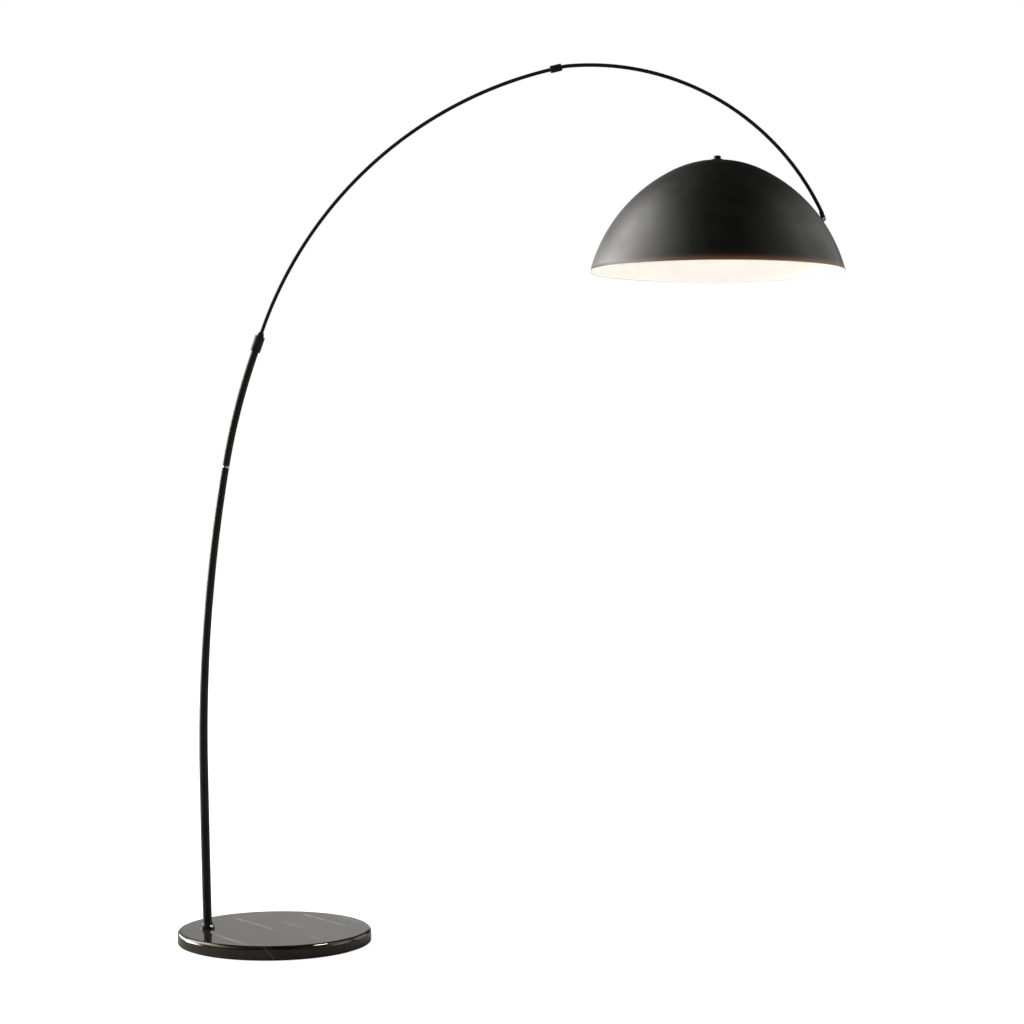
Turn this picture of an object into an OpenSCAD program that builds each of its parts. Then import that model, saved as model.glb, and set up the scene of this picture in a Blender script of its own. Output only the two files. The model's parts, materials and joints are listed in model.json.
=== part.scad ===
// Arc floor lamp: marble base, curved pole, thin rods and a dome shade.
// Frame: origin on the floor at the centre of the base, +Z up, +X towards the shade.
// The pole, the rods and the shade's axis all lie in the plane y = 0.

/* [Base] */
// Radius of the marble disc
base_r = 208.5; // [190:0.5:230]
// Thickness of the marble disc
marble_h = 28.5; // [26:0.5:40]
// Rounding of the marble's top edge
top_round = 8; // [3:0.5:10]
// Rounding of the marble's bottom edge
bottom_round = 3; // [2:0.5:5]
// Thickness of the floor pad
pad_h = 2.5; // [2:0.5:4]
// Distance by which the pad is set in from the marble's edge
pad_inset = 9.5; // [6:0.5:20]

/* [Foot] */
// Distance from the base's centre back to the pole's foot
foot_offset = 145.5; // [120:0.5:150]
// Radius of the flared foot collar at the marble
foot_r = 14.8; // [14:0.2:18]
// Height of the foot collar
foot_h = 14; // [10:1:18]

/* [Pole] */
// Radius of the pole at its foot
pole_foot_r = 9.5; // [9.4:0.1:9.6]
// Radius of the pole at its top
pole_top_r = 8; // [7.9:0.1:8.1]
// Wall thickness of the pole
pole_wall = 1.2; // [1:0.1:1.3]
// Backward lean of the pole at its foot, in degrees
foot_lean = 1.3; // [0:0.1:2]
// Straight length of the pole above its foot
foot_straight = 330; // [300:5:360]
// Bend radius of the lower pole
lower_pole_bend = 3540; // [3000:20:4000]
// Lean of the pole at the joint ring, in degrees
ring_lean = 9.5; // [8:0.1:11]
// Height of the joint ring
ring_h = 3.2; // [2:0.2:5]
// Bend radius of the upper pole
upper_pole_bend = 1480; // [1300:20:1700]
// Lean of the collar, in degrees
collar_lean = 19; // [17:0.1:21]
// Straight length at the top of the pole
pole_end = 24; // [20:1:30]

/* [Collar] */
// Radius of the collar
collar_r = 11; // [10.5:0.1:12]
// Length of pole that the collar grips
collar_grip = 14; // [12:1:18]
// Length of the collar above the pole's end
collar_above = 21; // [20:1:26]

/* [Rods] */
// Radius of the rods
rod_r = 4; // [3.8:0.1:4.2]
// Wall thickness of the rods
rod_wall = 1; // [0.9:0.1:1]
// Straight length at the root of the lower rod
rod_root = 30; // [28:1:36]
// Bend radius of the lower rod
lower_rod_bend = 874; // [820:1:920]
// Angle of the coupler from the vertical, in degrees
coupler_lean = 76.5; // [74:0.5:79]
// Radius of the coupler
coupler_r = 8; // [7:0.5:9]
// Length of the coupler
coupler_len = 26; // [24:1:34]
// Tight bend radius of the upper rod just past the coupler
coupler_bend = 90; // [70:5:120]
// Angle at the end of that tight bend, in degrees
upper_rod_lean = 85; // [82:0.5:88]
// Bend radius of the upper rod
upper_rod_bend = 552; // [520:1:580]
// Angle at the end of the upper rod's long bend, in degrees
tip_lean = 154; // [150:0.5:158]
// Bend radius at the tip of the upper rod
tip_bend = 30; // [25:1:60]
// Angle of the knuckle from the vertical, in degrees
knuckle_lean = 163; // [160:0.5:168]
// Distance from the tip bend to the knuckle's pin
tip_len = 18; // [18:0.5:24]

/* [Knuckle] */
// Radius of the knuckle's rounded end
knuckle_r = 5; // [4.8:0.1:5.2]
// Radius of the knuckle screw
pin_r = 2; // [1.8:0.1:2.2]
// Height of the knuckle's pin above the shade's wall
pin_height = 6.5; // [6.5:0.1:9]
// Place of the knuckle on the shade's wall, in degrees above the horizontal
knuckle_rise = 35.1; // [30:0.1:45]

/* [Shade] */
// Radius of the shade at its rim
shade_r = 274; // [250:1:290]
// Radius of the arc of the shade's side
side_arc = 336; // [325:1:350]
// Radius of the arc of the shade's crown
crown_arc = 221; // [205:1:230]
// Lean of the shade's side at the rim, in degrees
rim_lean = 14.7; // [12:0.1:16]
// Thickness of the shell
shell_t = 1; // [0.8:0.1:1.5]
// Thickness of the white lining
lining_t = 0.5; // [0.4:0.1:0.8]
// Radius of the bead that is rolled at the rim
bead_r = 1.4; // [1.2:0.1:2]

/* [Finial] */
// Radius of the finial
finial_r = 8; // [7:0.5:10]
// Height of the finial
finial_h = 7.6; // [7:0.2:12]
// Radius of the flange under the finial
flange_r = 12.5; // [12:0.5:16]

/* [Hidden] */
$fn = 96;

black = "#1b1b1c";
dark_marble = "#3a342b";
steel = "#b9bbbd";
brass = "#c9a24b";
rubber = "#2a2a2a";
cream = "#f4efe2";
opal = "#fff4dc";
lead_grey = "#6f6f72";
porcelain = "#e8e5dc";
white_plastic = "#f2f2ef";

eps = 0.01;
over = 1;                // how far a cutting solid runs past the face that it cuts
base_top = pad_h + marble_h;

// Fasteners and clearances
stud_r = 5;              // M10 hollow stud and nipple
stud_bore = 3.3;
thread_gap = 0.05;
run_gap = 0.05;
body_gap = 0.3;
m4_r = 2;
set_socket_r = 1.3;      // hexagon socket of the set screws and the knuckle screw

// Foot
foot_floor = 2;
recess_r = 20;
recess_h = 16.5;
foot_hole_r = 6;
channel_w = 9;
channel_h = 8;
gland_len = 16;
gland_slack = 0.1;
cord_r = 3.1;
washer_t = 2;
washer_r = 15;
washer_gap = 0.3;
foot_nut_h = 6;
foot_nut_r = 9.8;
plug_h = 22;
stud_above = 19;
stud_below = 1;

// Leads
lead_r = 1.8;
arm_lead_r = 1.5;
lead_bend = 7;
lead_z = pad_h + channel_h / 2;

// A place on the arc is [x, z, angle of the tangent from the vertical]
function ahead(s, len) = [s[0] + len * sin(s[2]), s[1] + len * cos(s[2]), s[2]];
function along(s, r, lean) = [
    s[0] + r * (cos(s[2]) - cos(lean)),
    s[1] + r * (sin(lean) - sin(s[2])),
    lean
];

foot = [-foot_offset, base_top + foot_floor, -foot_lean];
foot_bend = ahead(foot, foot_straight);
lower_top = along(foot_bend, lower_pole_bend, ring_lean);
upper_bottom = ahead(lower_top, ring_h);
upper_straight = along(upper_bottom, upper_pole_bend, collar_lean);
pole_top = ahead(upper_straight, pole_end);
rod_bend = ahead(pole_top, rod_root);
coupler_start = along(rod_bend, lower_rod_bend, coupler_lean);
coupler_end = ahead(coupler_start, coupler_len);
upper_rod_start = along(coupler_end, coupler_bend, upper_rod_lean);
tip_start = along(upper_rod_start, upper_rod_bend, tip_lean);
tip_end = along(tip_start, tip_bend, knuckle_lean);
pivot = ahead(tip_end, tip_len);

// Shade: the side's arc is centred at [-side_x, side_z] and the crown's at [0, crown_z], from the rim
side_x = side_arc * cos(rim_lean) - shade_r;
side_z = -side_arc * sin(rim_lean);
crown_z = side_z + sqrt(pow(side_arc - crown_arc, 2) - side_x * side_x);
crown_rise = atan2(crown_z - side_z, side_x);
shade_h = crown_z + crown_arc;
shade_x = pivot[0] + side_x - (side_arc + pin_height) * cos(knuckle_rise);
rim_z = pivot[1] - side_z - (side_arc + pin_height) * sin(knuckle_rise);

// Stack through the shade's wall, as depths below its outer face
lining_in = shell_t + lining_t;
spacer_top = lining_in + 0.25;
strap_top = lining_in + 1.8;
strap_t = 2;
strap_w = 14;
strap_in = strap_top + strap_t;
wall_nut_top = strap_in + 0.2;
wall_stud_r = 4;
wall_stud_bore = 2.2;
wall_nut_r = 7;
wall_nut_h = 4;
spacer_r = 8;

// Lamp holder and bulb, as depths below the crown of the shade
cap_top = 15;
holder_r = 20.5;
holder_wall = 2;
body_top = 35;
body_bottom = 74;
core_top = 38;
core_bottom = 44;
socket_r = 14.4;
socket_bottom = 71;
e27_r = 13.2;
e27_top = 49;
e27_bottom = 72.5;
e27_ridges = 6;
bulb_button_h = 2;
housing_bottom = 112;
housing_r = 27;
globe_r = 30;
globe_t = 1;

// Moves children from the origin, pointing up, to a place on the arc
module at(s) {
    translate([s[0], 0, s[1]]) rotate([0, s[2], 0]) children();
}

// Round bar with an optional bore, straight on from a place on the arc
module run(s, len, r, bore = 0) {
    at(s) difference() {
        cylinder(h = len, r = r);
        if (bore > 0) translate([0, 0, -over]) cylinder(h = len + 2 * over, r = bore);
    }
}

// Places along a bend, from just after its start to its end
function bend_places(s, r, lean, steps) =
    [for (i = [1:steps]) along(s, r, s[2] + (lean - s[2]) * i / steps)];

function ring_points(s, r, sides) = [for (j = [0:sides - 1])
    let (t = 360 * j / sides)
    [s[0] + r * cos(t) * cos(s[2]), r * sin(t), s[1] - r * cos(t) * sin(s[2])]];

// Skin between ring i and ring i + 1, for every i up to last; rings wrap round after total
function skin_faces(last, total, sides) = [for (i = [0:last], j = [0:sides - 1])
    let (up = (i + 1) % total, on = (j + 1) % sides,
         a = i * sides + j, b = i * sides + on, c = up * sides + on, d = up * sides + j)
    each [[a, c, b], [a, d, c]]];

// Tube through a row of places, one radius for each; rings go up outside and down inside
module swept_tube(places, radii, wall, sides) {
    last = len(places) - 1;
    outer = [for (i = [0:last]) each ring_points(places[i], radii[i], sides)];
    inner = [for (i = [last:-1:0]) each ring_points(places[i], radii[i] - wall, sides)];
    polyhedron(concat(outer, inner), skin_faces(2 * last + 1, 2 * last + 2, sides));
}

// Solid round bar through a row of places
module swept_bar(places, r, sides) {
    last = len(places) - 1;
    points = [for (s = places) each ring_points(s, r, sides)];
    bottom = [for (j = [0:sides - 1]) j];
    top = [for (j = [sides - 1:-1:0]) last * sides + j];
    polyhedron(points, concat([bottom, top], skin_faces(last - 1, last + 1, sides)));
}

// Disc with both edges rounded, standing on z = 0
module rounded_disc(r, h, top, bottom) {
    rotate_extrude() {
        square([r - max(top, bottom), h]);
        translate([0, bottom]) square([r, h - top - bottom]);
        intersection() {
            square([r, h]);
            union() {
                translate([r - top, h - top]) circle(top);
                translate([r - bottom, bottom]) circle(bottom);
                square([r - top, h]);
                square([r - bottom, h / 2]);
            }
        }
    }
}

module hex_nut(r, h, bore) {
    difference() {
        cylinder(h = h, r = r, $fn = 6);
        translate([0, 0, -over]) cylinder(h = h + 2 * over, r = bore);
    }
}

module flat_ring(r, bore, h) {
    difference() {
        cylinder(h = h, r = r);
        translate([0, 0, -over]) cylinder(h = h + 2 * over, r = bore);
    }
}

module at_foot() {
    translate([foot[0], 0, 0]) children();
}

// ---- Base ----

module foot_channel() {
    translate([-base_r - over, -channel_w / 2, pad_h - over])
        cube([base_r + over - foot_offset, channel_w, channel_h + over]);
}

module base_marble() {
    color(dark_marble) difference() {
        translate([0, 0, pad_h]) rounded_disc(base_r, marble_h, top_round, bottom_round);
        at_foot() translate([0, 0, pad_h - over]) {
            cylinder(h = marble_h + 2 * over, r = foot_hole_r);
            cylinder(h = recess_h + over, r = recess_r);
        }
        foot_channel();
    }
}

module base_pad() {
    color(rubber) difference() {
        cylinder(h = pad_h, r = base_r - pad_inset);
        at_foot() translate([0, 0, -over]) cylinder(h = pad_h + 2 * over, r = recess_r);
    }
}

module foot_stud() {
    stud_bottom = pad_h + recess_h - washer_t - foot_nut_h - stud_below;
    color(steel) at_foot() translate([0, 0, stud_bottom])
        flat_ring(stud_r, stud_bore, base_top + foot_floor + stud_above - stud_bottom);
}

module foot_washer() {
    color(steel) at_foot() translate([0, 0, pad_h + recess_h - washer_t])
        flat_ring(washer_r, stud_r + washer_gap, washer_t);
}

module foot_nut() {
    color(steel) at_foot() translate([0, 0, pad_h + recess_h - washer_t - foot_nut_h])
        hex_nut(foot_nut_r, foot_nut_h, stud_r + thread_gap);
}

module cord_gland() {
    set_back = 0.5;
    color(rubber) difference() {
        intersection() {
            translate([-base_r - over, -channel_w / 2 + gland_slack, pad_h + gland_slack])
                cube([gland_len + over, channel_w - 2 * gland_slack, channel_h - 2 * gland_slack]);
            cylinder(h = base_top, r = base_r - set_back);
        }
        translate([-base_r - over, 0, lead_z]) rotate([0, 90, 0])
            cylinder(h = gland_len + 2 * over, r = cord_r);
    }
}

// ---- Foot ----

// Flared outline: a short vertical skirt, then a hollow curve up to the thin top lip
module foot_collar() {
    lip = 0.9;
    flare = 12;
    stud_gap = 0.2;
    color(black) difference() {
        at_foot() translate([0, 0, base_top]) rotate_extrude() difference() {
            square([foot_r, foot_h]);
            translate([pole_foot_r + lip + flare, foot_h]) circle(flare);
        }
        at(foot) cylinder(h = foot_h + over, r = pole_foot_r + thread_gap);
        at_foot() translate([0, 0, base_top - over])
            cylinder(h = foot_floor + 2 * over, r = stud_r + stud_gap);
        foot_screw_place() cylinder(h = foot_r + over, r = m4_r + thread_gap);
    }
}

module foot_screw_place() {
    screw_rise = 6.2;
    screw_turn = -48;
    at_foot() translate([0, 0, base_top + screw_rise]) rotate([0, 90, screw_turn]) children();
}

module foot_set_screw() {
    seat = pole_foot_r + 0.3;
    head_r = 3;
    head_h = 2;
    socket_h = 1.2;
    neck_end = foot_r + 0.05;
    color(steel) foot_screw_place() difference() {
        union() {
            translate([0, 0, seat]) cylinder(h = neck_end - seat + eps, r = m4_r);
            translate([0, 0, neck_end]) cylinder(h = head_h, r = head_r);
        }
        translate([0, 0, neck_end + head_h - socket_h])
            cylinder(h = socket_h + over, r = set_socket_r, $fn = 6);
    }
}

module pole_plug() {
    slide = 0.15;
    color(steel) difference() {
        at(foot) cylinder(h = plug_h, r = pole_foot_r - pole_wall - slide);
        at_foot() translate([0, 0, base_top])
            cylinder(h = foot_floor + plug_h + over, r = stud_r + thread_gap);
    }
}

// ---- Pole ----

pole_sides = 32;
lower_steps = 20;
upper_steps = 8;

// Straight at the foot, then bent and tapered up to the ring
module lower_pole() {
    taper = (pole_foot_r - pole_top_r) / lower_steps;
    places = concat([foot, foot_bend], bend_places(foot_bend, lower_pole_bend, ring_lean, lower_steps));
    radii = concat([pole_foot_r, pole_foot_r], [for (i = [1:lower_steps]) pole_foot_r - taper * i]);
    color(black) swept_tube(places, radii, pole_wall, pole_sides);
}

spigot_half = 30;
spigot_wall = 1.2;
spigot_r = pole_top_r - pole_wall - 0.45;

module joint_spigot() {
    start = ahead(lower_top, -spigot_half);
    color(steel) run(start, 2 * spigot_half + ring_h, spigot_r, spigot_r - spigot_wall);
}

module joint_ring() {
    set_back = 0.3;
    color(steel) run(lower_top, ring_h, pole_top_r - set_back, spigot_r);
}

module upper_pole() {
    places = concat(
        [upper_bottom],
        bend_places(upper_bottom, upper_pole_bend, collar_lean, upper_steps),
        [pole_top]
    );
    color(black) swept_tube(places, [for (s = places) pole_top_r], pole_wall, pole_sides);
}

// ---- Collar ----

lip_h = 3;
lip_gap = 1.5;
bush_lift = 0.2;
bush_h = collar_above - lip_h - bush_lift;
ferrule_r = 5;
ferrule_bore = 2.6;
neck_r = 7.4;

module pole_collar() {
    chamfer = 1.2;
    seat_r = pole_top_r + 0.1;
    full_h = collar_grip + collar_above;
    color(black) difference() {
        at(ahead(pole_top, -collar_grip)) rotate_extrude() polygon([
            [seat_r, 0],
            [collar_r - chamfer, 0],
            [collar_r, chamfer],
            [collar_r, full_h - chamfer],
            [collar_r - chamfer, full_h],
            [ferrule_r + lip_gap, full_h],
            [ferrule_r + lip_gap, full_h - lip_h],
            [seat_r, full_h - lip_h]
        ]);
        collar_screw_place() cylinder(h = collar_r + over, r = m4_r + thread_gap);
    }
}

module collar_screw_place() {
    at(ahead(pole_top, -collar_grip / 2)) rotate([0, 90, 90]) children();
}

module collar_set_screw() {
    tip = pole_top_r + 0.15;
    socket_h = 1.6;
    color(steel) collar_screw_place() difference() {
        translate([0, 0, tip]) cylinder(h = collar_r - tip, r = m4_r);
        translate([0, 0, collar_r - socket_h]) cylinder(h = socket_h + over, r = set_socket_r, $fn = 6);
    }
}

module collar_bush() {
    color(brass) run(ahead(pole_top, bush_lift), bush_h, pole_top_r + thread_gap, ferrule_r + run_gap);
}

// ---- Arm ----

module rod_ferrule() {
    keeper_r = 6.4;
    keeper_h = 3;
    shoulder = collar_above + body_gap;
    shoulder_h = 3;
    neck_lip = 0.8;
    color(black) at(pole_top) rotate_extrude() polygon([
        [ferrule_bore, -body_gap - keeper_h],
        [keeper_r, -body_gap - keeper_h],
        [keeper_r, -body_gap],
        [ferrule_r, -body_gap],
        [ferrule_r, shoulder],
        [neck_r, shoulder],
        [neck_r, shoulder + shoulder_h],
        [rod_r + neck_lip, rod_root],
        [rod_r, rod_root],
        [rod_r, 0],
        [ferrule_bore, 0]
    ]);
}

coupler_grip = 11;
rod_sides = 16;
rod_steps = 38;
short_steps = 4;

module rod(places) {
    color(black) swept_tube(places, [for (s = places) rod_r], rod_wall, rod_sides);
}

module lower_rod() {
    rod(concat(
        [pole_top, rod_bend],
        bend_places(rod_bend, lower_rod_bend, coupler_lean, rod_steps),
        [ahead(coupler_start, coupler_grip)]
    ));
}

module rod_coupler() {
    edge = 2.5;
    web = rod_r - rod_wall;
    color(black) at(coupler_start) rotate_extrude() difference() {
        union() {
            square([coupler_r - edge, coupler_len]);
            translate([0, edge]) square([coupler_r, coupler_len - 2 * edge]);
            for (z = [edge, coupler_len - edge]) translate([coupler_r - edge, z]) circle(edge);
        }
        translate([0, -over]) square([web, coupler_len + 2 * over]);
        translate([0, -over]) square([rod_r, coupler_grip + over]);
        translate([0, coupler_len - coupler_grip]) square([rod_r, coupler_grip + over]);
    }
}

module coupler_stud() {
    back = 6;
    short = 1;
    slide = 0.15;
    bore = 2;
    stud_len = back + coupler_len - short;
    color(steel) run(ahead(coupler_start, -back), stud_len, rod_r - rod_wall - slide, bore);
}

fork_deep = 17;
rod_stop = 8;

module upper_rod() {
    rod(concat(
        [ahead(coupler_end, -coupler_grip), coupler_end],
        bend_places(coupler_end, coupler_bend, upper_rod_lean, short_steps),
        bend_places(upper_rod_start, upper_rod_bend, tip_lean, rod_steps),
        bend_places(tip_start, tip_bend, knuckle_lean, short_steps),
        [ahead(tip_end, tip_len - rod_stop)]
    ));
}

// ---- Knuckle ----

slot_half = 2.2;
slot_floor = 5.9;
cheek = 5;
shank_inset = 0.1;
knuckle_facets = 64;

// Outline seen along the pin: a round end and a straight shank back towards the rod
module fork_outline() {
    half = knuckle_r - shank_inset;
    circle(knuckle_r, $fn = knuckle_facets);
    translate([-half, -rod_stop]) square([2 * half, rod_stop]);
}

module knuckle_fork() {
    round_r = knuckle_r + 0.6;
    lead_hole_r = 2;
    shank_h = fork_deep - slot_floor - shank_inset;
    slot_len = 4 * knuckle_r;
    color(black) difference() {
        union() {
            intersection() {
                at(pivot) rotate([90, 0, 0]) linear_extrude(2 * cheek, center = true) fork_outline();
                at(ahead(pivot, -rod_stop - over))
                    cylinder(h = rod_stop + knuckle_r + 2 * over, r = round_r);
            }
            run(ahead(pivot, -fork_deep), shank_h, knuckle_r - shank_inset);
        }
        at(pivot) translate([-slot_len / 2, -slot_half, -slot_floor])
            cube([slot_len, 2 * slot_half, slot_len]);
        at(ahead(pivot, -fork_deep - over)) cylinder(h = fork_deep + over - rod_stop, r = rod_r);
        at(ahead(pivot, -fork_deep)) cylinder(h = fork_deep, r = lead_hole_r);
        at(pivot) rotate([90, 0, 0]) cylinder(h = 4 * cheek, r = pin_r + thread_gap, center = true);
    }
}

module knuckle_screw() {
    head_h = 1.6;
    head_r = 3.2;
    tail = 1.2;
    socket_h = 1.1;
    color(steel) at(pivot) rotate([-90, 0, 0]) difference() {
        union() {
            translate([0, 0, -cheek - tail]) cylinder(h = 2 * cheek + tail + eps, r = pin_r);
            translate([0, 0, cheek]) cylinder(h = head_h, r = head_r);
        }
        translate([0, 0, cheek + head_h - socket_h])
            cylinder(h = socket_h + over, r = set_socket_r, $fn = 6);
    }
}

module knuckle_nut() {
    nut_r = 3.5;
    nut_h = 1.4;
    color(steel) at(pivot) rotate([90, 0, 0]) translate([0, 0, cheek])
        hex_nut(nut_r, nut_h, pin_r + thread_gap);
}

// Frame of the shade's wall at the knuckle: +Z points out of the wall, z = 0 on its outer face
module at_wall() {
    translate([pivot[0], 0, pivot[1]]) rotate([0, 90 - knuckle_rise, 0]) translate([0, 0, -pin_height])
        children();
}

module knuckle_eye() {
    eye_r = 4.4;
    half = slot_half - body_gap;
    neck = 3.4;
    flange_h = 1;
    stud_len = wall_nut_top + wall_nut_h + 2;
    color(black) difference() {
        union() {
            at(pivot) rotate([90, 0, 0])
                cylinder(h = 2 * half, r = eye_r, center = true, $fn = knuckle_facets);
            at_wall() {
                translate([-neck, -half, flange_h / 2])
                    cube([2 * neck, 2 * half, pin_height - flange_h / 2]);
                cylinder(h = flange_h, r = wall_nut_r);
                translate([0, 0, -stud_len]) cylinder(h = stud_len + flange_h / 2, r = wall_stud_r);
            }
        }
        at(pivot) rotate([90, 0, 0]) cylinder(h = 4 * cheek, r = pin_r + run_gap, center = true);
        at_wall() translate([0, 0, -stud_len - over]) cylinder(h = stud_len + over, r = wall_stud_bore);
    }
}

module stud_spacer() {
    color(rubber) at_wall() translate([0, 0, -strap_top])
        flat_ring(spacer_r, wall_stud_r + thread_gap, strap_top - spacer_top);
}

module stud_nut() {
    color(steel) at_wall() translate([0, 0, -wall_nut_top - wall_nut_h])
        hex_nut(wall_nut_r, wall_nut_h, wall_stud_r + thread_gap);
}

// ---- Shade ----

module at_shade() {
    translate([shade_x, 0, rim_z]) children();
}

dome_facets = 360;
bead_facets = 32;

// Fan with its point at the origin, from one angle above the horizontal to another, under 180 degrees
module fan(from, to) {
    reach = 2 * side_arc;
    polygon([[0, 0], reach * [cos(from), sin(from)], reach * [cos((from + to) / 2), sin((from + to) / 2)],
        reach * [cos(to), sin(to)]]);
}

// Band under the dome's outline between two depths, from an angle on the side to the crown
module dome_band(outer, inner, from) {
    translate([-side_x, side_z]) intersection() {
        difference() {
            circle(side_arc - outer, $fn = dome_facets);
            circle(side_arc - inner, $fn = dome_facets);
        }
        fan(from, crown_rise);
    }
    translate([0, crown_z]) intersection() {
        difference() {
            circle(crown_arc - outer, $fn = dome_facets);
            circle(crown_arc - inner, $fn = dome_facets);
        }
        fan(crown_rise, 90);
    }
}

module crown_hole() {
    gap = 0.2;
    translate([0, 0, shade_h / 2]) cylinder(h = shade_h, r = stud_r + gap);
}

// Holes for the nipple in the crown and for the knuckle's stud in the wall
module shade_holes() {
    gap = 0.1;
    reach = 15;
    at_shade() crown_hole();
    at_wall() translate([0, 0, -reach]) cylinder(h = 2 * reach, r = wall_stud_r + gap);
}

module shade_shell() {
    color(black) difference() {
        at_shade() rotate_extrude($fn = dome_facets) {
            dome_band(0, shell_t, rim_lean);
            translate([shade_r - shell_t / 2, 0]) circle(bead_r, $fn = bead_facets);
        }
        shade_holes();
    }
}

module shade_lining() {
    rim_gap = 0.4;
    color(cream) difference() {
        at_shade() rotate_extrude($fn = dome_facets) dome_band(shell_t, lining_in, rim_lean + rim_gap);
        shade_holes();
    }
}

module shade_strap() {
    past_stud = 1.6;
    crown_dip = 0.12;
    color(steel) difference() {
        at_shade() rotate([90, 0, 0]) linear_extrude(strap_w, center = true) {
            dome_band(strap_top, strap_in, knuckle_rise - past_stud);
            translate([-strap_w / 2, shade_h - strap_in]) square([strap_w / 2 + eps, strap_t - crown_dip]);
        }
        shade_holes();
    }
}

// ---- Finial and hub ----

flange_h = 2;
nipple_above = 6.5;

module finial_flange() {
    edge = 0.8;
    underside_edge = 0.2;
    color(black) at_shade() difference() {
        translate([0, 0, shade_h - over]) rounded_disc(flange_r, flange_h + over, edge, underside_edge);
        translate([0, 0, crown_z]) sphere(crown_arc, $fn = dome_facets);
        crown_hole();
    }
}

module finial() {
    round_top = 3;
    waist = 1.2;
    color(black) at_shade() translate([0, 0, shade_h + flange_h]) difference() {
        rotate_extrude() {
            square([finial_r - round_top, finial_h]);
            square([finial_r - waist, finial_h / 2]);
            translate([0, waist]) square([finial_r, finial_h - round_top - waist]);
            translate([finial_r - round_top, finial_h - round_top]) circle(round_top);
        }
        translate([0, 0, -over])
            cylinder(h = nipple_above - flange_h + 1.5 * over, r = stud_r + thread_gap);
    }
}

module hub_nipple() {
    below = 28;
    color(steel) at_shade() translate([0, 0, shade_h - below])
        flat_ring(stud_r, stud_bore, below + nipple_above);
}

module hub_spacer() {
    color(rubber) at_shade() translate([0, 0, shade_h - strap_top])
        flat_ring(spacer_r, stud_r + thread_gap, strap_top - spacer_top);
}

module hub_nut() {
    clear = 0.15;
    color(steel) at_shade() translate([0, 0, shade_h - wall_nut_top - foot_nut_h - clear])
        hex_nut(foot_nut_r, foot_nut_h, stud_r + thread_gap);
}

// ---- Lamp holder ----

module holder_cap() {
    neck = 8.5;
    neck_end = 21;
    floor_t = 3;
    skirt_h = 3;
    color(black) at_shade() translate([0, 0, shade_h]) rotate_extrude() polygon([
        [stud_r + thread_gap, -cap_top],
        [neck, -cap_top],
        [neck, -neck_end],
        [holder_r, -body_top + skirt_h],
        [holder_r, -body_top],
        [holder_r - holder_wall, -body_top],
        [holder_r - holder_wall, -body_top + holder_wall],
        [neck, -neck_end - floor_t],
        [stud_r + thread_gap, -neck_end - floor_t]
    ]);
}

module holder_body() {
    color(black) at_shade() translate([0, 0, shade_h - body_bottom])
        flat_ring(holder_r, holder_r - holder_wall, body_bottom - body_top);
}

module holder_core() {
    core_h = core_bottom - core_top;
    wire_x = 8;
    wire_r = 1.8;
    color(porcelain) at_shade() translate([0, 0, shade_h - core_bottom]) difference() {
        cylinder(h = core_h, r = holder_r - holder_wall);
        for (side = [-1, 1]) translate([side * wire_x, 0, -over])
            cylinder(h = core_h + 2 * over, r = wire_r);
    }
}

module holder_shell() {
    sheet_t = 0.5;
    color(brass) at_shade() translate([0, 0, shade_h - socket_bottom])
        flat_ring(socket_r, socket_r - sheet_t, socket_bottom - core_bottom);
}

module holder_contact() {
    size = 4;
    height = e27_top - bulb_button_h - core_bottom;
    color(brass) at_shade() translate([-size / 2, -size / 2, shade_h - core_bottom - height])
        cube([size, size, height]);
}

// ---- Bulb ----

// Screw cap: a row of round-topped ridges, smooth at both ends
module bulb_cap() {
    pitch = 3.4;
    dip = 0.6;
    shoulder = 3;
    top = shade_h - e27_top;
    bottom = shade_h - e27_bottom;
    color(steel) at_shade() rotate_extrude() polygon(concat(
        [[0, bottom], [e27_r - dip, bottom]],
        [for (i = [1:2 * e27_ridges]) [e27_r - (i % 2 == 0 ? dip : 0), bottom + i * pitch / 2]],
        [[e27_r - shoulder, top], [0, top]]
    ));
}

module bulb_contact() {
    button_r = 4.5;
    short = 0.2;
    color(brass) at_shade() translate([0, 0, shade_h - e27_top])
        cylinder(h = bulb_button_h - short, r = button_r);
}

module bulb_housing() {
    collar_h = 4;
    collar_base_r = e27_r + 3;
    collar_top_r = e27_r + 1.5;
    band_h = 8;
    band_draft = 1;
    color(white_plastic) at_shade() translate([0, 0, shade_h]) rotate_extrude() polygon([
        [0, -housing_bottom],
        [housing_r, -housing_bottom],
        [housing_r - band_draft, -housing_bottom + band_h],
        [collar_base_r, -e27_bottom - collar_h],
        [collar_top_r, -e27_bottom],
        [0, -e27_bottom]
    ]);
}

// Opal globe: the part of a round shell below the housing
module bulb_globe() {
    drop = sqrt(globe_r * globe_r - housing_r * housing_r);
    color(opal) at_shade() translate([0, 0, shade_h - housing_bottom - drop]) difference() {
        sphere(globe_r);
        sphere(globe_r - globe_t);
        translate([0, 0, drop + globe_r]) cube([4 * globe_r, 4 * globe_r, 2 * globe_r], center = true);
    }
}

// ---- Leads held inside ----

lead_sides = 8;
lead_steps = 6;
lead_short = 6;
arm_lead_tail = 2;

// From the cord gland along the channel, up through the foot and the whole pole
module pole_lead() {
    gland_end = [gland_len + over - base_r, lead_z, 90];
    under_foot = [foot[0] - lead_bend, lead_z, 90];
    color(lead_grey) swept_bar(concat(
        [gland_end, under_foot],
        bend_places(under_foot, -lead_bend, 0, lead_steps),
        [foot, foot_bend],
        bend_places(foot_bend, lower_pole_bend, ring_lean, lower_steps),
        [upper_bottom],
        bend_places(upper_bottom, upper_pole_bend, collar_lean, upper_steps),
        [ahead(upper_straight, pole_end - lead_short)]
    ), lead_r, lead_sides);
}

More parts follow.
